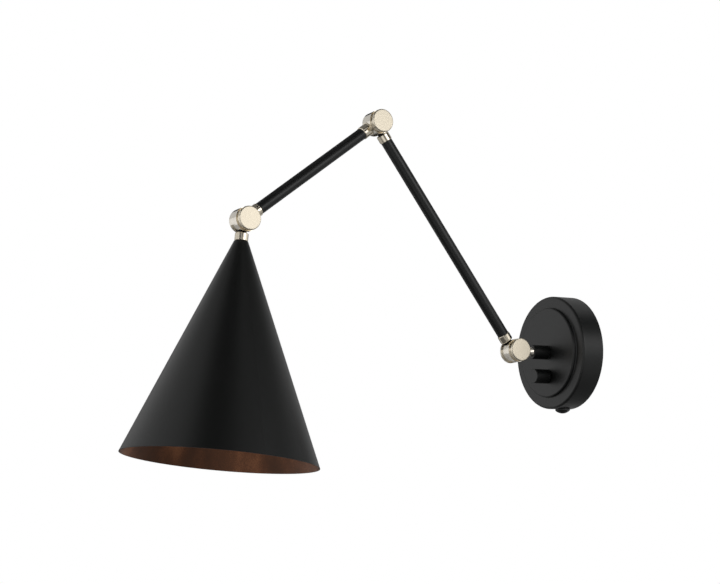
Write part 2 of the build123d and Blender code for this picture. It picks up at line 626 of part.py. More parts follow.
# ---- assembly -----------------------------------------------------------------------------
parts = {
    "canopy": canopy(),
    "wall_bracket": wall_bracket(),
    "thumb_screw": thumb_screw(),
    "locating_peg": locating_peg(),
    "earth_screw": earth_screw(),
    "terminal_block": terminal_block(),
    "terminal_screws": terminal_screws(),
    "stem_pipe": stem_pipe(),
    "stem_washer": stem_washer(),
    "stem_nut": stem_nut(),
    "stem": stem(),
    "switch_body": switch_body(),
    "bushing_nut": bushing_nut(),
    "switch_shaft": switch_shaft(),
    "knob": knob(),
    "knob_grub_screw": knob_grub_screw(),
}

stem_neck_end = WALL_PIVOT - stem_end
stem_spigot_end = WALL_PIVOT - pipe_joint - FIXED
arm_neck = PIPE_DIAMETER, STEM_NECK_FLARE, PIPE_DIAMETER, spigot_end / 2, spigot_end
stem_neck = STEM_NECK_WAIST, STEM_NECK_FLARE, STEM_NECK_DIAMETER, stem_neck_end, stem_spigot_end
# pivot, angle of the barrel's neck, angle of the rotor's neck, end of its spigot,
# travel, side of the slot, how far the slot runs on, and the barrel's neck
knuckles = {
    "wall_knuckle": (wall_pivot, 180.0, LOWER_ARM_ANGLE, spigot_end,
                     WALL_KNUCKLE_TRAVEL, 1, WALL_SLOT_RUN_ON, stem_neck),
    "elbow_knuckle": (elbow_pivot, UPPER_ARM_ANGLE, LOWER_ARM_ANGLE - 180.0, spigot_end,
                      ELBOW_KNUCKLE_TRAVEL, 1, 0.0, arm_neck),
    "shade_knuckle": (shade_pivot, UPPER_ARM_ANGLE + 180.0, SHADE_ANGLE, grip_end,
                      SHADE_KNUCKLE_TRAVEL, -1, 0.0, arm_neck),
}
for name, (pivot, barrel_angle, rotor_angle, rotor_end, travel, turn, run_on, neck) in knuckles.items():
    parts[f"{name}_barrel"] = place(barrel(travel, turn, run_on, *neck), pivot, barrel_angle)
    parts[f"{name}_rotor"] = place(rotor(travel, turn, rotor_end), pivot, rotor_angle)
    parts[f"{name}_washers"] = [place(washer, pivot, barrel_angle) for washer in friction_washers()]
    parts[f"{name}_clamp_ring"] = place(clamp_ring(), pivot, barrel_angle)
    parts[f"{name}_spring"] = place(spring_washer(), pivot, barrel_angle)
    parts[f"{name}_screw"] = place(hinge_screw(), pivot, barrel_angle)
    parts[f"{name}_cap"] = place(cap(), pivot, barrel_angle)

collar = ferrule(ferrule_start)
parts["lower_arm_tube"] = place(arm_tube(LOWER_ARM), wall_pivot, LOWER_ARM_ANGLE)
parts["lower_arm_wall_ferrule"] = place(collar, wall_pivot, LOWER_ARM_ANGLE)
parts["lower_arm_elbow_ferrule"] = place(collar, elbow_pivot, LOWER_ARM_ANGLE - 180.0)
parts["upper_arm_tube"] = place(arm_tube(UPPER_ARM), elbow_pivot, UPPER_ARM_ANGLE)
parts["upper_arm_elbow_ferrule"] = place(coped_ferrule(), elbow_pivot, UPPER_ARM_ANGLE)
parts["upper_arm_shade_ferrule"] = place(coped_ferrule(), shade_pivot, UPPER_ARM_ANGLE + 180.0)
parts["shade_ferrule"] = place(collar, shade_pivot, SHADE_ANGLE)

shade_pieces = {
    "shade": shade(),
    "shade_seat": shade_seat(),
    "shade_nut": shade_nut(),
    "holder_cap": holder_cap(),
    "holder_sleeve": holder_sleeve(),
    "holder_insulator": holder_insulator(),
    "screw_shell": screw_shell(),
    "centre_contact": centre_contact(),
}
for name, piece in shade_pieces.items():
    parts[name] = place(piece, shade_pivot, SHADE_ANGLE)

os.makedirs("parts", exist_ok=True)
for name, shape in parts.items():
    pieces = shape if isinstance(shape, list) else [shape]
    solids = [solid for piece in pieces for solid in piece.solids()]
    export_step(Compound(children=solids), f"parts/{name}.step")
print(len(parts), "nodes")
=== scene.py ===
import json
from functools import partial
from math import cos, pi, radians, sin, tan

import bpy
from mathutils import Matrix, Vector


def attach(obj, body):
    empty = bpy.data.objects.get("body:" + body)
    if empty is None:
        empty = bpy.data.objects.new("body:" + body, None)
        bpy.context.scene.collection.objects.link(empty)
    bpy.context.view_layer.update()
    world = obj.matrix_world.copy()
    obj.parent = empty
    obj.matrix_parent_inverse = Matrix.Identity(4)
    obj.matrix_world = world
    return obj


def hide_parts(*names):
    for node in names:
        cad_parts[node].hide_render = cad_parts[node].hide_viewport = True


# Accordion wall lamp: finishes, threads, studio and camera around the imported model.
# Metres, in the model's own frame: the wall plane is y = 0, -Y points into the room, +Z is up.

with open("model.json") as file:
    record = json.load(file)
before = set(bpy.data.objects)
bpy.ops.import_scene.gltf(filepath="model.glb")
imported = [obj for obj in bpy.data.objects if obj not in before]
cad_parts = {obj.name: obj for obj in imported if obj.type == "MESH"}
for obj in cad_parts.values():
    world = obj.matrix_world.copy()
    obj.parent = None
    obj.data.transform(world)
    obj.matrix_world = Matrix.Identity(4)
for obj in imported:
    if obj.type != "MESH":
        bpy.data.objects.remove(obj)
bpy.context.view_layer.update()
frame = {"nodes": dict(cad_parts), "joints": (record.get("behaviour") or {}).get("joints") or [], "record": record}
nodes = frame["nodes"]
joints = {joint["name"]: joint for joint in frame["joints"]}
MM = 0.001
KNUCKLES = ("wall_knuckle", "elbow_knuckle", "shade_knuckle")


# ---- places read from the frame -----------------------------------------------------------
hinge_axis = Vector((1, 0, 0))
pivots = {name: Vector(joints[name + "_hinge"]["pos_m"]) for name in KNUCKLES}
lower_axis = (pivots["elbow_knuckle"] - pivots["wall_knuckle"]).normalized()
upper_axis = (pivots["shade_knuckle"] - pivots["elbow_knuckle"]).normalized()
socket_mount = next(mount for mount in frame["record"]["mounts"] if mount["name"] == "lamp_socket")
shade_axis = Vector(socket_mount["axis"]).normalized()
shade_axis = shade_axis if shade_axis.z < 0 else -shade_axis


# ---- helpers ------------------------------------------------------------------------------
SOFT_EDGE = 0.15 * MM         # every edge catches light as if it were rounded by this much
MOTTLE = (0.3, 0.7)           # noise values that get a finish's darker and its lighter colour
RESIN_IOR = 1.5               # near that of polyester, nylon, phenolic and porcelain glaze
BLOTCH = 6.0 * MM             # uneven tone of any plated or rolled metal


def linear(colour):
    """sRGB hex colour as linear RGBA."""
    channels = [int(colour[i:i + 2], 16) / 255 for i in (1, 3, 5)]
    return [c / 12.92 if c <= 0.04045 else ((c + 0.055) / 1.055) ** 2.4 for c in channels] + [1.0]


def add_node(tree, kind, settings=None, stops=(), **inputs):
    """Adds a node with its settings and links, and gives its outputs. settings are the node's own
    properties, stops are a ramp's positions and hex colours, and inputs are plain values or other nodes'
    outputs. An input is named as on the node, with _ for a space, or by its number, such as _0."""
    node = tree.nodes.new(kind)
    for name, value in (settings or {}).items():
        setattr(node, name, value)
    for index, (position, colour) in enumerate(stops):
        elements = node.color_ramp.elements
        element = elements[index] if index < len(elements) else elements.new(position)
        element.position = position
        element.color = linear(colour)
    for name, value in inputs.items():
        key = int(name[1:]) if name[1:].isdigit() else name.replace("_", " ")
        if isinstance(value, bpy.types.NodeSocket):
            tree.links.new(value, node.inputs[key])
        else:
            node.inputs[key].default_value = value
    return node.outputs


def empty_nodes(owner):
    """Clears the nodes of a material or world, and gives the function that adds new ones to it."""
    owner.use_nodes = True
    owner.node_tree.nodes.clear()
    return partial(add_node, owner.node_tree)


def new_material(name):
    """Empty material: what adds its nodes, the place of each point, and its normal with softened edges."""
    material = bpy.data.materials.new(name)
    add = empty_nodes(material)
    place = add("ShaderNodeTexCoord")["Object"]
    edge = add("ShaderNodeBevel", {"samples": 4}, Radius=SOFT_EDGE)["Normal"]
    return material, add, place, edge


def dress(material, *names):
    """Gives a material to every face of the named nodes."""
    for name in names:
        mesh = nodes[name].data
        for index in range(len(mesh.materials)):
            mesh.materials[index] = material


# ---- powder coat --------------------------------------------------------------------------
PAINT = ("#070908", "#0a0c0b")
PAINT_ROUGHNESS = (0.36, 0.44)
PEEL = 1.2 * MM               # real orange peel is about 0.6 mm, and is drawn twice as coarse to show
PEEL_DEPTH = 0.02 * MM
CLOUD = 45.0 * MM             # slow change of colour along a sprayed surface


def black_paint(add, place, edge):
    """Colour, roughness and normal of the black powder coat."""
    peel = add("ShaderNodeTexNoise", Vector=place, Scale=1 / PEEL, Detail=2.0)["Fac"]
    cloud = add("ShaderNodeTexNoise", Vector=place, Scale=1 / CLOUD, Detail=2.0)["Fac"]
    tint = add("ShaderNodeValToRGB", stops=zip(MOTTLE, PAINT), Fac=cloud)["Color"]
    low, high = PAINT_ROUGHNESS
    sheen = add("ShaderNodeMapRange", Value=peel, To_Min=low, To_Max=high)["Result"]
    normal = add("ShaderNodeBump", Height=peel, Distance=PEEL_DEPTH, Normal=edge)["Normal"]
    return tint, sheen, normal


def powder_coat():
    """Satin black polyester powder, baked on steel. Near black and even, with a fine orange peel that
    softens what it reflects."""
    material, add, place, edge = new_material("satin_black_powder_coat")
    tint, sheen, normal = black_paint(add, place, edge)
    shader = add("ShaderNodeBsdfPrincipled", Base_Color=tint, Roughness=sheen, Normal=normal, IOR=RESIN_IOR)
    add("ShaderNodeOutputMaterial", Surface=shader["BSDF"])
    return material


# ---- shade: powder coat outside, bronze lacquer inside ------------------------------------
BRONZE = ((0.42, "#583b2a"), (0.5, "#6f4730"), (0.58, "#9c6746"))
BRONZE_ROUGHNESS = (0.5, 0.38)  # from the darkest patches to the brightest
BRONZE_METALLIC = 0.6         # the lacquer veils part of the flake
FLAKE = 0.7 * MM              # real flakes are about 0.1 mm, and are drawn as coarser specks to show
FLAKE_SHARE = 0.35            # of the pattern; the rest is spray patches
SPRAY_PATCH = 20.0 * MM       # width of the patches that the spray leaves
SPRAY_PACE = 0.35             # the patches are longer down the slope by the inverse of this
SPRAY_RADIUS = 55.0 * MM      # of the circle on which their width is measured
RIM_SHADE_BAND = 35.0 * MM         # painted shade: the inside is drawn darker down this last stretch to the rim
RIM_SHADE_LEVELS = (0.62, 0.46)      # its painted brightness in the pattern above the band, and at the rim
RIM_SHADE_SHARE = 0.35             # of the whole pattern


def shade_finish():
    """Powder coat outside the cone, and a translucent bronze lacquer over aluminium flake inside it: a dark
    warm brown with a fine sparkle, in patches drawn out down the slope by the spray."""
    material, add, place, edge = new_material("powder_coated_shade_with_bronze_lacquer")
    top = pivots["shade_knuckle"]
    normal_out = add("ShaderNodeTexCoord")["Normal"]
    away = add("ShaderNodeVectorMath", {"operation": "SUBTRACT"}, _0=place, _1=top)[0]
    along = add("ShaderNodeVectorMath", {"operation": "DOT_PRODUCT"}, _0=away, _1=shade_axis)["Value"]
    foot = add("ShaderNodeVectorMath", {"operation": "SCALE"}, _0=shade_axis, Scale=along)[0]
    radial = add("ShaderNodeVectorMath", {"operation": "SUBTRACT"}, _0=away, _1=foot)[0]
    facing = add("ShaderNodeVectorMath", {"operation": "DOT_PRODUCT"}, _0=radial, _1=normal_out)["Value"]
    inside = add("ShaderNodeMath", {"operation": "LESS_THAN"}, _0=facing, _1=0.0)[0]

    speck = add("ShaderNodeTexNoise", Vector=place, Scale=1 / FLAKE, Detail=2.0)["Fac"]
    around = add("ShaderNodeVectorMath", {"operation": "NORMALIZE"}, _0=radial)[0]
    around = add("ShaderNodeVectorMath", {"operation": "SCALE"}, _0=around, Scale=SPRAY_RADIUS)[0]
    drawn = add("ShaderNodeVectorMath", {"operation": "SCALE"}, _0=foot, Scale=SPRAY_PACE)[0]
    spray = add("ShaderNodeVectorMath", {"operation": "ADD"}, _0=around, _1=drawn)[0]
    patch = add("ShaderNodeTexNoise", Vector=spray, Scale=1 / SPRAY_PATCH, Detail=3.0)["Fac"]
    rim = max((vertex.co - top).dot(shade_axis) for vertex in nodes["shade"].data.vertices)
    # painted light and shade: the inside is drawn lighter above the band and darker towards the rim
    rim_shade = add("ShaderNodeMapRange", Value=along, From_Min=rim - RIM_SHADE_BAND, From_Max=rim,
               To_Min=RIM_SHADE_LEVELS[0], To_Max=RIM_SHADE_LEVELS[1])["Result"]
    coat = add("ShaderNodeMix", {"data_type": "FLOAT"}, _0=FLAKE_SHARE, _2=patch, _3=speck)[0]
    coat = add("ShaderNodeMix", {"data_type": "FLOAT"}, _0=RIM_SHADE_SHARE, _2=coat, _3=rim_shade)[0]
    bronze = add("ShaderNodeValToRGB", stops=BRONZE, Fac=coat)["Color"]
    dull, bright = BRONZE_ROUGHNESS
    bronze_sheen = add("ShaderNodeMapRange", Value=coat, To_Min=dull, To_Max=bright)["Result"]

    paint, paint_sheen, normal = black_paint(add, place, edge)
    tint = add("ShaderNodeMix", {"data_type": "RGBA"}, _0=inside, _6=paint, _7=bronze)[2]
    sheen = add("ShaderNodeMix", {"data_type": "FLOAT"}, _0=inside, _2=paint_sheen, _3=bronze_sheen)[0]
    metal = add("ShaderNodeMath", {"operation": "MULTIPLY"}, _0=inside, _1=BRONZE_METALLIC)[0]
    shader = add("ShaderNodeBsdfPrincipled", Base_Color=tint, Roughness=sheen, Metallic=metal,
                 Normal=normal, IOR=RESIN_IOR)
    add("ShaderNodeOutputMaterial", Surface=shader["BSDF"])
    return material


# ---- nickel on turned brass ---------------------------------------------------------------
NICKEL = ("#e2d8c4", "#ebe1ce")
KNUCKLE_NICKEL = ("#e0dacd", "#e9e3d8")   # less warm, as light in the slots is tinted at each bounce
NICKEL_ROUGHNESS = (0.14, 0.2)
LATHE_FEED = 0.4 * MM         # a fine turning feed is 0.1 mm, and is drawn four times as coarse to show
LATHE_DEPTH = 0.0015 * MM


def turned_nickel(name, axis, colours=NICKEL):
    """Nickel plate on turned brass. Warm and bright, with fine lathe lines round its axis."""
    material, add, place, edge = new_material(name)
    height = add("ShaderNodeVectorMath", {"operation": "DOT_PRODUCT"}, _0=place, _1=axis)["Value"]
    lines = add("ShaderNodeTexNoise", {"noise_dimensions": "1D"}, W=height, Scale=1 / LATHE_FEED,
                Detail=1.0)["Fac"]
    blotch = add("ShaderNodeTexNoise", Vector=place, Scale=1 / BLOTCH, Detail=2.0)["Fac"]
    tint = add("ShaderNodeValToRGB", stops=zip(MOTTLE, colours), Fac=blotch)["Color"]
    low, high = NICKEL_ROUGHNESS
    sheen = add("ShaderNodeMapRange", Value=lines, To_Min=low, To_Max=high)["Result"]
    normal = add("ShaderNodeBump", Height=lines, Distance=LATHE_DEPTH, Normal=edge)["Normal"]
    shader = add("ShaderNodeBsdfPrincipled", Base_Color=tint, Roughness=sheen, Normal=normal, Metallic=1.0)
    add("ShaderNodeOutputMaterial", Surface=shader["BSDF"])
    return material


# ---- drums and necks of the knuckles ------------------------------------------------------
# painted shade: near black on the rotors' necks, where the gap between drum and collar lies in shadow
NECK_SHADE_COLOURS = ("#1c1c1d", "#252526")
DRUM_ROUGHNESS = (0.22, 0.32)
DRUM_RADIUS = 10.9 * MM       # the bright drum ends here, and its neck, painted near black as shade, begins
THREAD_START = 22.0 * MM      # hinge to the thread that holds the shade
THREAD_RELIEF = 0.3 * MM
PIPE_PITCH = 1.0 * MM         # M10 x 1 lamp thread


def screw_thread(add, along, x, y, pitch):
    """Height of a thread, as a wave that climbs round an axis."""
    turn = add("ShaderNodeMath", {"operation": "ARCTAN2"}, _0=x, _1=y)[0]
    wave = add("ShaderNodeMath", {"operation": "MULTIPLY_ADD"}, _0=along, _1=2 * pi / pitch, _2=turn)[0]
    return add("ShaderNodeMath", {"operation": "SINE"}, _0=wave)[0]


def drum_and_neck(name, pivot, thread_axis=None):
    """Nickel plate on the turned drum, and near-black painted shade on its neck, standing in for the shadow in the
    gap between the drum and the collar. With a thread axis, the neck goes on along it as a threaded pipe."""
    material, add, place, edge = new_material(name)
    away = add("ShaderNodeVectorMath", {"operation": "SUBTRACT"}, _0=place, _1=pivot)[0]
    flat = add("ShaderNodeVectorMath", {"operation": "MULTIPLY"}, _0=away, _1=(0, 1, 1))[0]
    reach = add("ShaderNodeVectorMath", {"operation": "LENGTH"}, _0=flat)["Value"]
    on_neck = add("ShaderNodeMath", {"operation": "GREATER_THAN"}, _0=reach, _1=DRUM_RADIUS)[0]
    lines = add("ShaderNodeTexNoise", {"noise_dimensions": "1D"}, W=reach, Scale=1 / LATHE_FEED,
                Detail=1.0)["Fac"]
    blotch = add("ShaderNodeTexNoise", Vector=place, Scale=1 / BLOTCH, Detail=2.0)["Fac"]
    plate = add("ShaderNodeValToRGB", stops=zip(MOTTLE, KNUCKLE_NICKEL), Fac=blotch)["Color"]
    # painted shade: the neck is coloured near black for the shadow in the slot
    neck_shade = add("ShaderNodeValToRGB", stops=zip(MOTTLE, NECK_SHADE_COLOURS), Fac=blotch)["Color"]
    tint = add("ShaderNodeMix", {"data_type": "RGBA"}, _0=on_neck, _6=plate, _7=neck_shade)[2]
    low, high = DRUM_ROUGHNESS
    sheen = add("ShaderNodeMapRange", Value=lines, To_Min=low, To_Max=high)["Result"]
    normal = add("ShaderNodeBump", Height=lines, Distance=LATHE_DEPTH, Normal=edge)["Normal"]
    if thread_axis is not None:
        side = thread_axis.orthogonal().normalized()
        along, x, y = (add("ShaderNodeVectorMath", {"operation": "DOT_PRODUCT"}, _0=away, _1=axis)["Value"]
                       for axis in (thread_axis, side, thread_axis.cross(side)))
        wave = screw_thread(add, along, x, y, PIPE_PITCH)
        cut = add("ShaderNodeMath", {"operation": "GREATER_THAN"}, _0=along, _1=THREAD_START)[0]
        wave = add("ShaderNodeMath", {"operation": "MULTIPLY"}, _0=wave, _1=cut)[0]
        normal = add("ShaderNodeBump", Height=wave, Distance=THREAD_RELIEF, Normal=normal)["Normal"]
    shader = add("ShaderNodeBsdfPrincipled", Base_Color=tint, Roughness=sheen, Normal=normal, Metallic=1.0)
    add("ShaderNodeOutputMaterial", Surface=shader["BSDF"])
    return material


# ---- cap discs ----------------------------------------------------------------------------
SATIN = ("#eee3ce", "#f2e8d4")
SATIN_ROUGHNESS = (0.46, 0.47)
CAP_RIM_ROUGHNESS = 0.2
CAP_RIM_TURN = (0.55, 0.85)   # cosines to the hinge axis over which the bright rim turns into the satin face
SPECKLE = 0.9 * MM            # real blasting pits are about 0.1 mm, and are drawn coarser to show
SPECKLE_DEPTH = 0.001 * MM


def satin_nickel():
    """Nickel plate on a turned disc. Its face is blasted to an even satin with a faint speckle, and its
    rounded rim is left bright."""
    material, add, place, edge = new_material("satin_nickel_plate")
    normal_out = add("ShaderNodeTexCoord")["Normal"]
    facing = add("ShaderNodeVectorMath", {"operation": "DOT_PRODUCT"}, _0=normal_out, _1=hinge_axis)["Value"]
    speckle = add("ShaderNodeTexNoise", Vector=place, Scale=1 / SPECKLE, Detail=3.0)["Fac"]
    tint = add("ShaderNodeValToRGB", stops=zip(MOTTLE, SATIN), Fac=speckle)["Color"]
    low, high = SATIN_ROUGHNESS
    satin = add("ShaderNodeMapRange", Value=speckle, To_Min=low, To_Max=high)["Result"]
    start, end = CAP_RIM_TURN
    sheen = add("ShaderNodeMapRange", Value=facing, From_Min=start, From_Max=end, To_Min=CAP_RIM_ROUGHNESS,
                To_Max=satin)["Result"]
    normal = add("ShaderNodeBump", Height=speckle, Distance=SPECKLE_DEPTH, Normal=edge)["Normal"]
    shader = add("ShaderNodeBsdfPrincipled", Base_Color=tint, Roughness=sheen, Normal=normal, Metallic=1.0)
    add("ShaderNodeOutputMaterial", Surface=shader["BSDF"])
    return material


# ---- plated, rolled and moulded parts -----------------------------------------------------
METAL_GRAIN = 1.5 * MM        # shallow waves of rolled and plated sheet
METAL_SPREAD = 0.05           # of the roughness, either way
MOULD_PATCH = 8.0 * MM
MOULD_GRAIN = 0.8 * MM        # shallow waves left by the mould
MOULD_SPREAD = 0.04           # of the roughness, either way
GRAIN_DEPTH = 0.01 * MM


def plated_metal(name, colours, roughness, pitch=None):
    """Plated or rolled metal with slightly uneven colour and sheen. With a pitch, it is threaded about Y."""
    material, add, place, edge = new_material(name)
    patch = add("ShaderNodeTexNoise", Vector=place, Scale=1 / BLOTCH, Detail=3.0)["Fac"]
    grain = add("ShaderNodeTexNoise", Vector=place, Scale=1 / METAL_GRAIN, Detail=2.0)["Fac"]
    tint = add("ShaderNodeValToRGB", stops=zip(MOTTLE, colours), Fac=patch)["Color"]
    sheen = add("ShaderNodeMapRange", Value=patch, To_Min=roughness - METAL_SPREAD,
                To_Max=roughness + METAL_SPREAD)["Result"]
    normal = add("ShaderNodeBump", Height=grain, Distance=GRAIN_DEPTH, Normal=edge)["Normal"]
    if pitch:
        parts = add("ShaderNodeSeparateXYZ", Vector=place)
        wave = screw_thread(add, parts["Y"], parts["X"], parts["Z"], pitch)
        normal = add("ShaderNodeBump", Height=wave, Distance=THREAD_RELIEF, Normal=normal)["Normal"]
    shader = add("ShaderNodeBsdfPrincipled", Base_Color=tint, Roughness=sheen, Normal=normal, Metallic=1.0)
    add("ShaderNodeOutputMaterial", Surface=shader["BSDF"])
    return material


def moulded(name, colours, roughness, glaze=0.0):
    """Moulded plastic or fired porcelain with a faint mottle."""
    material, add, place, edge = new_material(name)
    patch = add("ShaderNodeTexNoise", Vector=place, Scale=1 / MOULD_PATCH, Detail=3.0)["Fac"]
    grain = add("ShaderNodeTexNoise", Vector=place, Scale=1 / MOULD_GRAIN, Detail=2.0)["Fac"]
    tint = add("ShaderNodeValToRGB", stops=zip(MOTTLE, colours), Fac=patch)["Color"]
    sheen = add("ShaderNodeMapRange", Value=patch, To_Min=roughness - MOULD_SPREAD,
                To_Max=roughness + MOULD_SPREAD)["Result"]
    normal = add("ShaderNodeBump", Height=grain, Distance=GRAIN_DEPTH, Normal=edge)["Normal"]
    shader = add("ShaderNodeBsdfPrincipled", Base_Color=tint, Roughness=sheen, Normal=normal, IOR=RESIN_IOR,
                 Coat_Weight=glaze)
    add("ShaderNodeOutputMaterial", Surface=shader["BSDF"])
    return material


# ---- what each node wears -----------------------------------------------------------------
def of_each_knuckle(part):
    """Names of one part in all three knuckles."""
    return [f"{knuckle}_{part}" for knuckle in KNUCKLES]


dress(powder_coat(), "canopy", "thumb_screw", "stem", "knob", "lower_arm_tube", "upper_arm_tube")
dress(shade_finish(), "shade")

turned_about_hinge = turned_nickel("nickel_plate_turned_about_hinge", hinge_axis, KNUCKLE_NICKEL)
dress(turned_about_hinge, *of_each_knuckle("barrel"), *of_each_knuckle("clamp_ring"))
dress(satin_nickel(), *of_each_knuckle("cap"))
for knuckle in KNUCKLES:
    thread_axis = shade_axis if knuckle == "shade_knuckle" else None
    dress(drum_and_neck(f"nickel_drum_of_{knuckle}", pivots[knuckle], thread_axis), f"{knuckle}_rotor")
for carrier, axis in (("lower_arm", lower_axis), ("upper_arm", upper_axis), ("shade", shade_axis)):
    collars = [name for name in nodes if name.startswith(carrier) and name.endswith("_ferrule")]
    dress(turned_nickel(f"nickel_plate_on_{carrier}", axis), *collars)

# Bright zinc plate on pressed steel: cool grey with a faint blotch.
ZINC = ("#aeb2b5", "#c3c6c8")
zinc = plated_metal("zinc_plated_steel", ZINC, roughness=0.32)
dress(zinc, "wall_bracket", "locating_peg", "stem_washer", "stem_nut", "bushing_nut", "switch_shaft",
      "knob_grub_screw", "shade_seat", "shade_nut", *of_each_knuckle("screw"))
dress(plated_metal("zinc_plated_thread", ZINC, roughness=0.3, pitch=PIPE_PITCH), "stem_pipe")
# Brass, turned or rolled and left bare: yellow and clean.
brass = plated_metal("bare_brass", ("#c69d52", "#d8b46a"), roughness=0.28)
dress(brass, "earth_screw", "terminal_screws", "screw_shell", "centre_contact")
# Nickel plate on drawn sheet: greyer than the knuckles, and without their lathe lines.
sheet_nickel = plated_metal("nickel_plated_sheet", ("#b9b2a4", "#cfc8ba"), roughness=0.25)
dress(sheet_nickel, "holder_cap", "holder_sleeve")
# Spring steel, blued by heat: dark and bluish.
blued_steel = plated_metal("blued_spring_steel", ("#4e515c", "#6a6d78"), roughness=0.35)
dress(blued_steel, *of_each_knuckle("spring"))
# Natural nylon, moulded: milky and slightly yellow.
nylon = moulded("natural_nylon", ("#dcd7c4", "#e8e4d4"), roughness=0.5)
dress(nylon, "terminal_block", *of_each_knuckle("washers"))
# Black phenolic, pressed: hard and dull.
dress(moulded("black_phenolic", ("#161514", "#1e1d1c"), roughness=0.45), "switch_body")
# Porcelain, fired under a clear glaze: warm white and glossy.
porcelain = moulded("glazed_porcelain", ("#e4e0d6", "#efece4"), roughness=0.2, glaze=0.5)
dress(porcelain, "holder_insulator")


# ---- rolled screw shell -------------------------------------------------------------------
SHELL_PITCH = 25.4 / 7 * MM   # seven threads an inch, as on every medium lamp base
SHELL_THREAD_DEPTH = 0.8 * MM
SHELL_SHEET = 0.4 * MM
SHELL_FOOT = 4.5 * MM         # plain band held in the porcelain
SHELL_FADE = 1.5 * MM         # over this length the thread runs out
SHELL_SEGMENTS = 72
SHELL_ROWS = 96


def rolled_screw_shell():
    """Screw shell rolled from brass sheet, so that its inside carries the lamp's thread."""
    top = pivots["shade_knuckle"]
    away = [vertex.co - top for vertex in nodes["screw_shell"].data.vertices]
    heights = [point.dot(shade_axis) for point in away]
    low, high = min(heights), max(heights)
    outer = max((point - shade_axis * height).length for point, height in zip(away, heights))
    side = shade_axis.orthogonal().normalized()
    other = shade_axis.cross(side)

    def point(row, segment, inward):
        height = low + (high - low) * row / SHELL_ROWS
        angle = 2 * pi * segment / SHELL_SEGMENTS
        past_foot = max((height - low - SHELL_FOOT) / SHELL_FADE, 0)
        before_lip = max((high - height) / SHELL_FADE, 0)
        wave = (1 - cos(2 * pi * height / SHELL_PITCH - angle)) / 2
        radius = outer - inward - SHELL_THREAD_DEPTH * min(past_foot, before_lip, 1) * wave
        return top + shade_axis * height + (side * cos(angle) + other * sin(angle)) * radius

    points = [point(row, segment, inward) for inward in (0.0, SHELL_SHEET)
              for row in range(SHELL_ROWS + 1) for segment in range(SHELL_SEGMENTS)]
    skin = (SHELL_ROWS + 1) * SHELL_SEGMENTS
    end = SHELL_ROWS * SHELL_SEGMENTS
    faces = []
    for segment in range(SHELL_SEGMENTS):
        after = (segment + 1) % SHELL_SEGMENTS
        for here in range(0, end, SHELL_SEGMENTS):
            above = here + SHELL_SEGMENTS
            outside = (here + segment, above + segment, above + after, here + after)
            faces.append(outside)
            faces.append(tuple(skin + corner for corner in reversed(outside)))
        faces.append((segment, after, skin + after, skin + segment))
        faces.append((end + after, end + segment, skin + end + segment, skin + end + after))
    mesh = bpy.data.meshes.new("rolled_screw_shell")
    mesh.from_pydata(points, [], faces)
    mesh.polygons.foreach_set("use_smooth", [True] * len(faces))
    mesh.materials.append(brass)
    shell = bpy.data.objects.new("rolled_screw_shell", mesh)
    bpy.context.scene.collection.objects.link(shell)
    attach(shell, "shade")
    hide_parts("screw_shell")


rolled_screw_shell()


# ---- camera -------------------------------------------------------------------------------
VIEW_AZIMUTH = 59.73          # degrees round the lamp from straight in front of the wall, towards +X
VIEW_ELEVATION = -8.55        # looking slightly up
VIEW_ROLL = -1.46
VIEW_DISTANCE = 1741.7 * MM
AIM_OUT = 200.0 * MM          # out from the wall to the point that the aim is counted from
AIM_ACROSS = -49.4 * MM       # from that point to the right, as the camera sees it before its roll
AIM_UP = 56.8 * MM            # and up
SENSOR_WIDTH = 36.0           # millimetres, as the lens below
FOCAL_LENGTH = 85.73


def towards(azimuth, elevation):
    """Unit vector from the lamp, with azimuth 0 in front of the wall and 90 to the lamp's +X side."""
    a, e = radians(azimuth), radians(elevation)
    return Vector((sin(a) * cos(e), -cos(a) * cos(e), sin(e)))


def make_camera():
    """Camera of the main view. Gives the point that it looks at."""
    back = towards(VIEW_AZIMUTH, VIEW_ELEVATION)
    right = Vector((cos(radians(VIEW_AZIMUTH)), sin(radians(VIEW_AZIMUTH)), 0))
    up = back.cross(right)
    centre = Vector((0, -AIM_OUT, 0)) + right * AIM_ACROSS + up * AIM_UP
    roll = radians(VIEW_ROLL)
    across = right * cos(roll) + up * sin(roll)
    upward = up * cos(roll) - right * sin(roll)
    data = bpy.data.cameras.new("camera")
    data.sensor_width = SENSOR_WIDTH
    data.lens = FOCAL_LENGTH
    camera = bpy.data.objects.new("camera", data)
    bpy.context.scene.collection.objects.link(camera)
    turn = Matrix((across, upward, back)).transposed().to_4x4()
    camera.matrix_world = Matrix.Translation(centre + back * VIEW_DISTANCE) @ turn
    bpy.context.scene.camera = camera
    return centre


aim = make_camera()


# ---- studio -------------------------------------------------------------------------------
FILL_COLOUR = "#f4f6f8"
FILL_STRENGTH = 0.55
FLOOR_COLOUR = "#f2f2f0"
FLOOR_LEVEL = -1.25           # below the canopy's centre, as under a bedside wall lamp
FLOOR_SIZE = 60.0


def make_world():
    """White to the eye and to reflections, and a soft even light for the rest."""
    world = bpy.data.worlds.new("studio")
    add = empty_nodes(world)
    white = add("ShaderNodeBackground", Color=linear("#ffffff"), Strength=1.0)[0]
    fill = add("ShaderNodeBackground", Color=linear(FILL_COLOUR), Strength=FILL_STRENGTH)[0]
    path = add("ShaderNodeLightPath")
    seen = path["Is Camera Ray"]
    for ray in ("Is Glossy Ray", "Is Transmission Ray"):
        seen = add("ShaderNodeMath", {"operation": "MAXIMUM"}, _0=seen, _1=path[ray])[0]
    mix = add("ShaderNodeMixShader", _0=seen, _1=fill, _2=white)[0]
    add("ShaderNodeOutputWorld", Surface=mix)
    bpy.context.scene.world = world


def put(item, centre, facing):
    """Sets an object in the scene with its own +Z towards a direction."""
    bpy.context.scene.collection.objects.link(item)
    turn = Vector(facing).to_track_quat("Z", "Y").to_matrix().to_4x4()
    item.matrix_world = Matrix.Translation(centre) @ turn


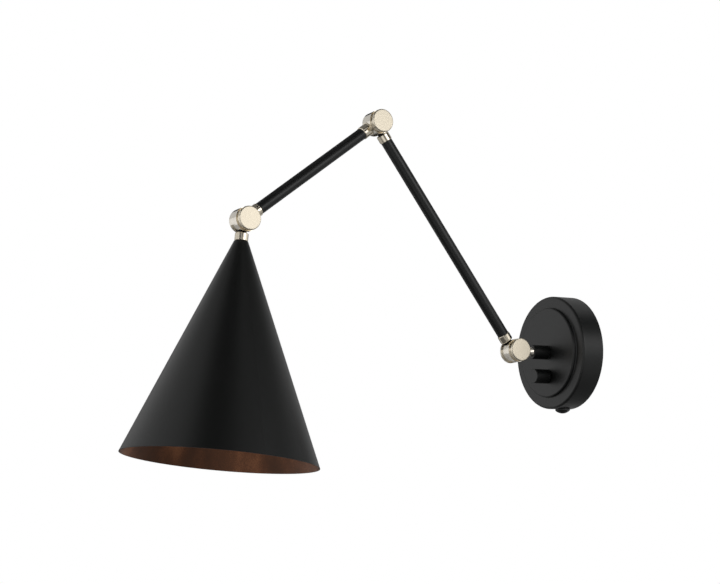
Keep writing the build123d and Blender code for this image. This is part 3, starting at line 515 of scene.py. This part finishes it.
def plane(name, centre, facing, width, height, material):
    """Flat sheet of the studio with its face towards a direction."""
    mesh = bpy.data.meshes.new(name)
    x, y = width / 2, height / 2
    mesh.from_pydata([(-x, -y, 0), (x, -y, 0), (x, y, 0), (-x, y, 0)], [], [(0, 1, 2, 3)])
    mesh.materials.append(material)
    card = bpy.data.objects.new(name, mesh)
    put(card, centre, facing)
    return card


def make_floor():
    """Matt pale paint, wide enough to reach past every view."""
    paint = bpy.data.materials.new("pale_floor_paint")
    add = empty_nodes(paint)
    matt = add("ShaderNodeBsdfDiffuse", Color=linear(FLOOR_COLOUR))[0]
    add("ShaderNodeOutputMaterial", Surface=matt)
    plane("floor", (0, 0, FLOOR_LEVEL), (0, 0, 1), FLOOR_SIZE, FLOOR_SIZE, paint)


def make_card(name, shade, centre, facing, width, height):
    """Card that only reflections see. Cards like these set how dark or pale each part of the studio is, so
    that satin paint and plate shade from black to bright round their curves."""
    paper = bpy.data.materials.new(name)
    add = empty_nodes(paper)
    glow = add("ShaderNodeEmission", Color=linear(shade), Strength=1.0)[0]
    add("ShaderNodeOutputMaterial", Surface=glow)
    card = plane(name, centre, facing, width, height, paper)
    card.visible_camera = False
    card.visible_diffuse = False
    card.visible_shadow = False
    card.visible_transmission = False


def side_card(name, shade, distance, azimuths, elevations):
    """Card that faces the lamp and spans a range of directions round it, in degrees."""
    azimuth, elevation = sum(azimuths) / 2, sum(elevations) / 2
    out = towards(azimuth, elevation)
    half_turn, half_tilt = radians(azimuths[1] - azimuth), radians(elevations[1] - elevation)
    width = 2 * distance * tan(half_turn) * cos(radians(elevation))
    make_card(name, shade, aim + out * distance, -out, width, 2 * distance * tan(half_tilt))


def level_card(name, shade, level, reach):
    """Level card above or below the lamp, reaching out to an elevation in degrees."""
    side = 2 * abs(level) / tan(radians(reach))
    facing = (0, 0, -1 if level > 0 else 1)
    make_card(name, shade, aim + Vector((0, 0, level)), facing, side, side)


def make_lamp(name, size, power, distance, azimuth, elevation):
    """Square softbox at a direction from the lamp. It shines back along its own -Z, at the lamp."""
    light = bpy.data.lights.new(name, "AREA")
    light.shape = "SQUARE"
    light.size = size
    light.energy = power
    out = towards(azimuth, elevation)
    put(bpy.data.objects.new(name, light), aim + out * distance, out)


make_world()
make_floor()

# Levels and distances are metres from the aim. Azimuths and elevations are degrees seen from there. Power
# is in watts.
level_card("dark_floor_cloth", "#595959", level=-1.1, reach=42)
level_card("grey_floor_cloth", "#adadad", level=-1.12, reach=16)
level_card("black_ceiling_cloth", "#080808", level=1.5, reach=52)
level_card("grey_scrim_overhead", "#6e6e6e", level=1.4, reach=66)
side_card("pale_cloth_above_left", "#c7c7c7", distance=1.7, azimuths=(-180, -95), elevations=(50, 75))
side_card("grey_cloth_behind", "#b0b0b0", distance=2.4, azimuths=(-180, -125), elevations=(-16, 50))
side_card("black_flag_behind", "#101010", distance=2.3, azimuths=(-125, -93), elevations=(-44, 50))
side_card("grey_flag_left", "#a6a6a6", distance=2.3, azimuths=(-95, -70), elevations=(-16, 16))
side_card("pale_cloth_left", "#f4f4f4", distance=2.35, azimuths=(-70, -15), elevations=(-16, 16))
side_card("pale_cloth_high_left", "#cacaca", distance=2.4, azimuths=(-95, -36), elevations=(16, 50))
side_card("pale_cloth_high_front", "#cacaca", distance=2.4, azimuths=(-36, 22), elevations=(16, 50))
side_card("black_flag_over_camera", "#101010", distance=2.3, azimuths=(22, 95), elevations=(16, 52))
side_card("dark_cloth_right", "#454545", distance=2.4, azimuths=(95, 185), elevations=(20, 50))
side_card("pale_cloth_low_front", "#f0f0f0", distance=1.9, azimuths=(22, 66), elevations=(-44, -20))
side_card("black_slot_by_camera", "#101010", distance=2.2, azimuths=(71, 80), elevations=(-30, 16))
make_lamp("right_softbox", size=0.5, power=1.6, distance=1.2, azimuth=112, elevation=14)

bpy.context.scene.view_settings.view_transform = "Standard"
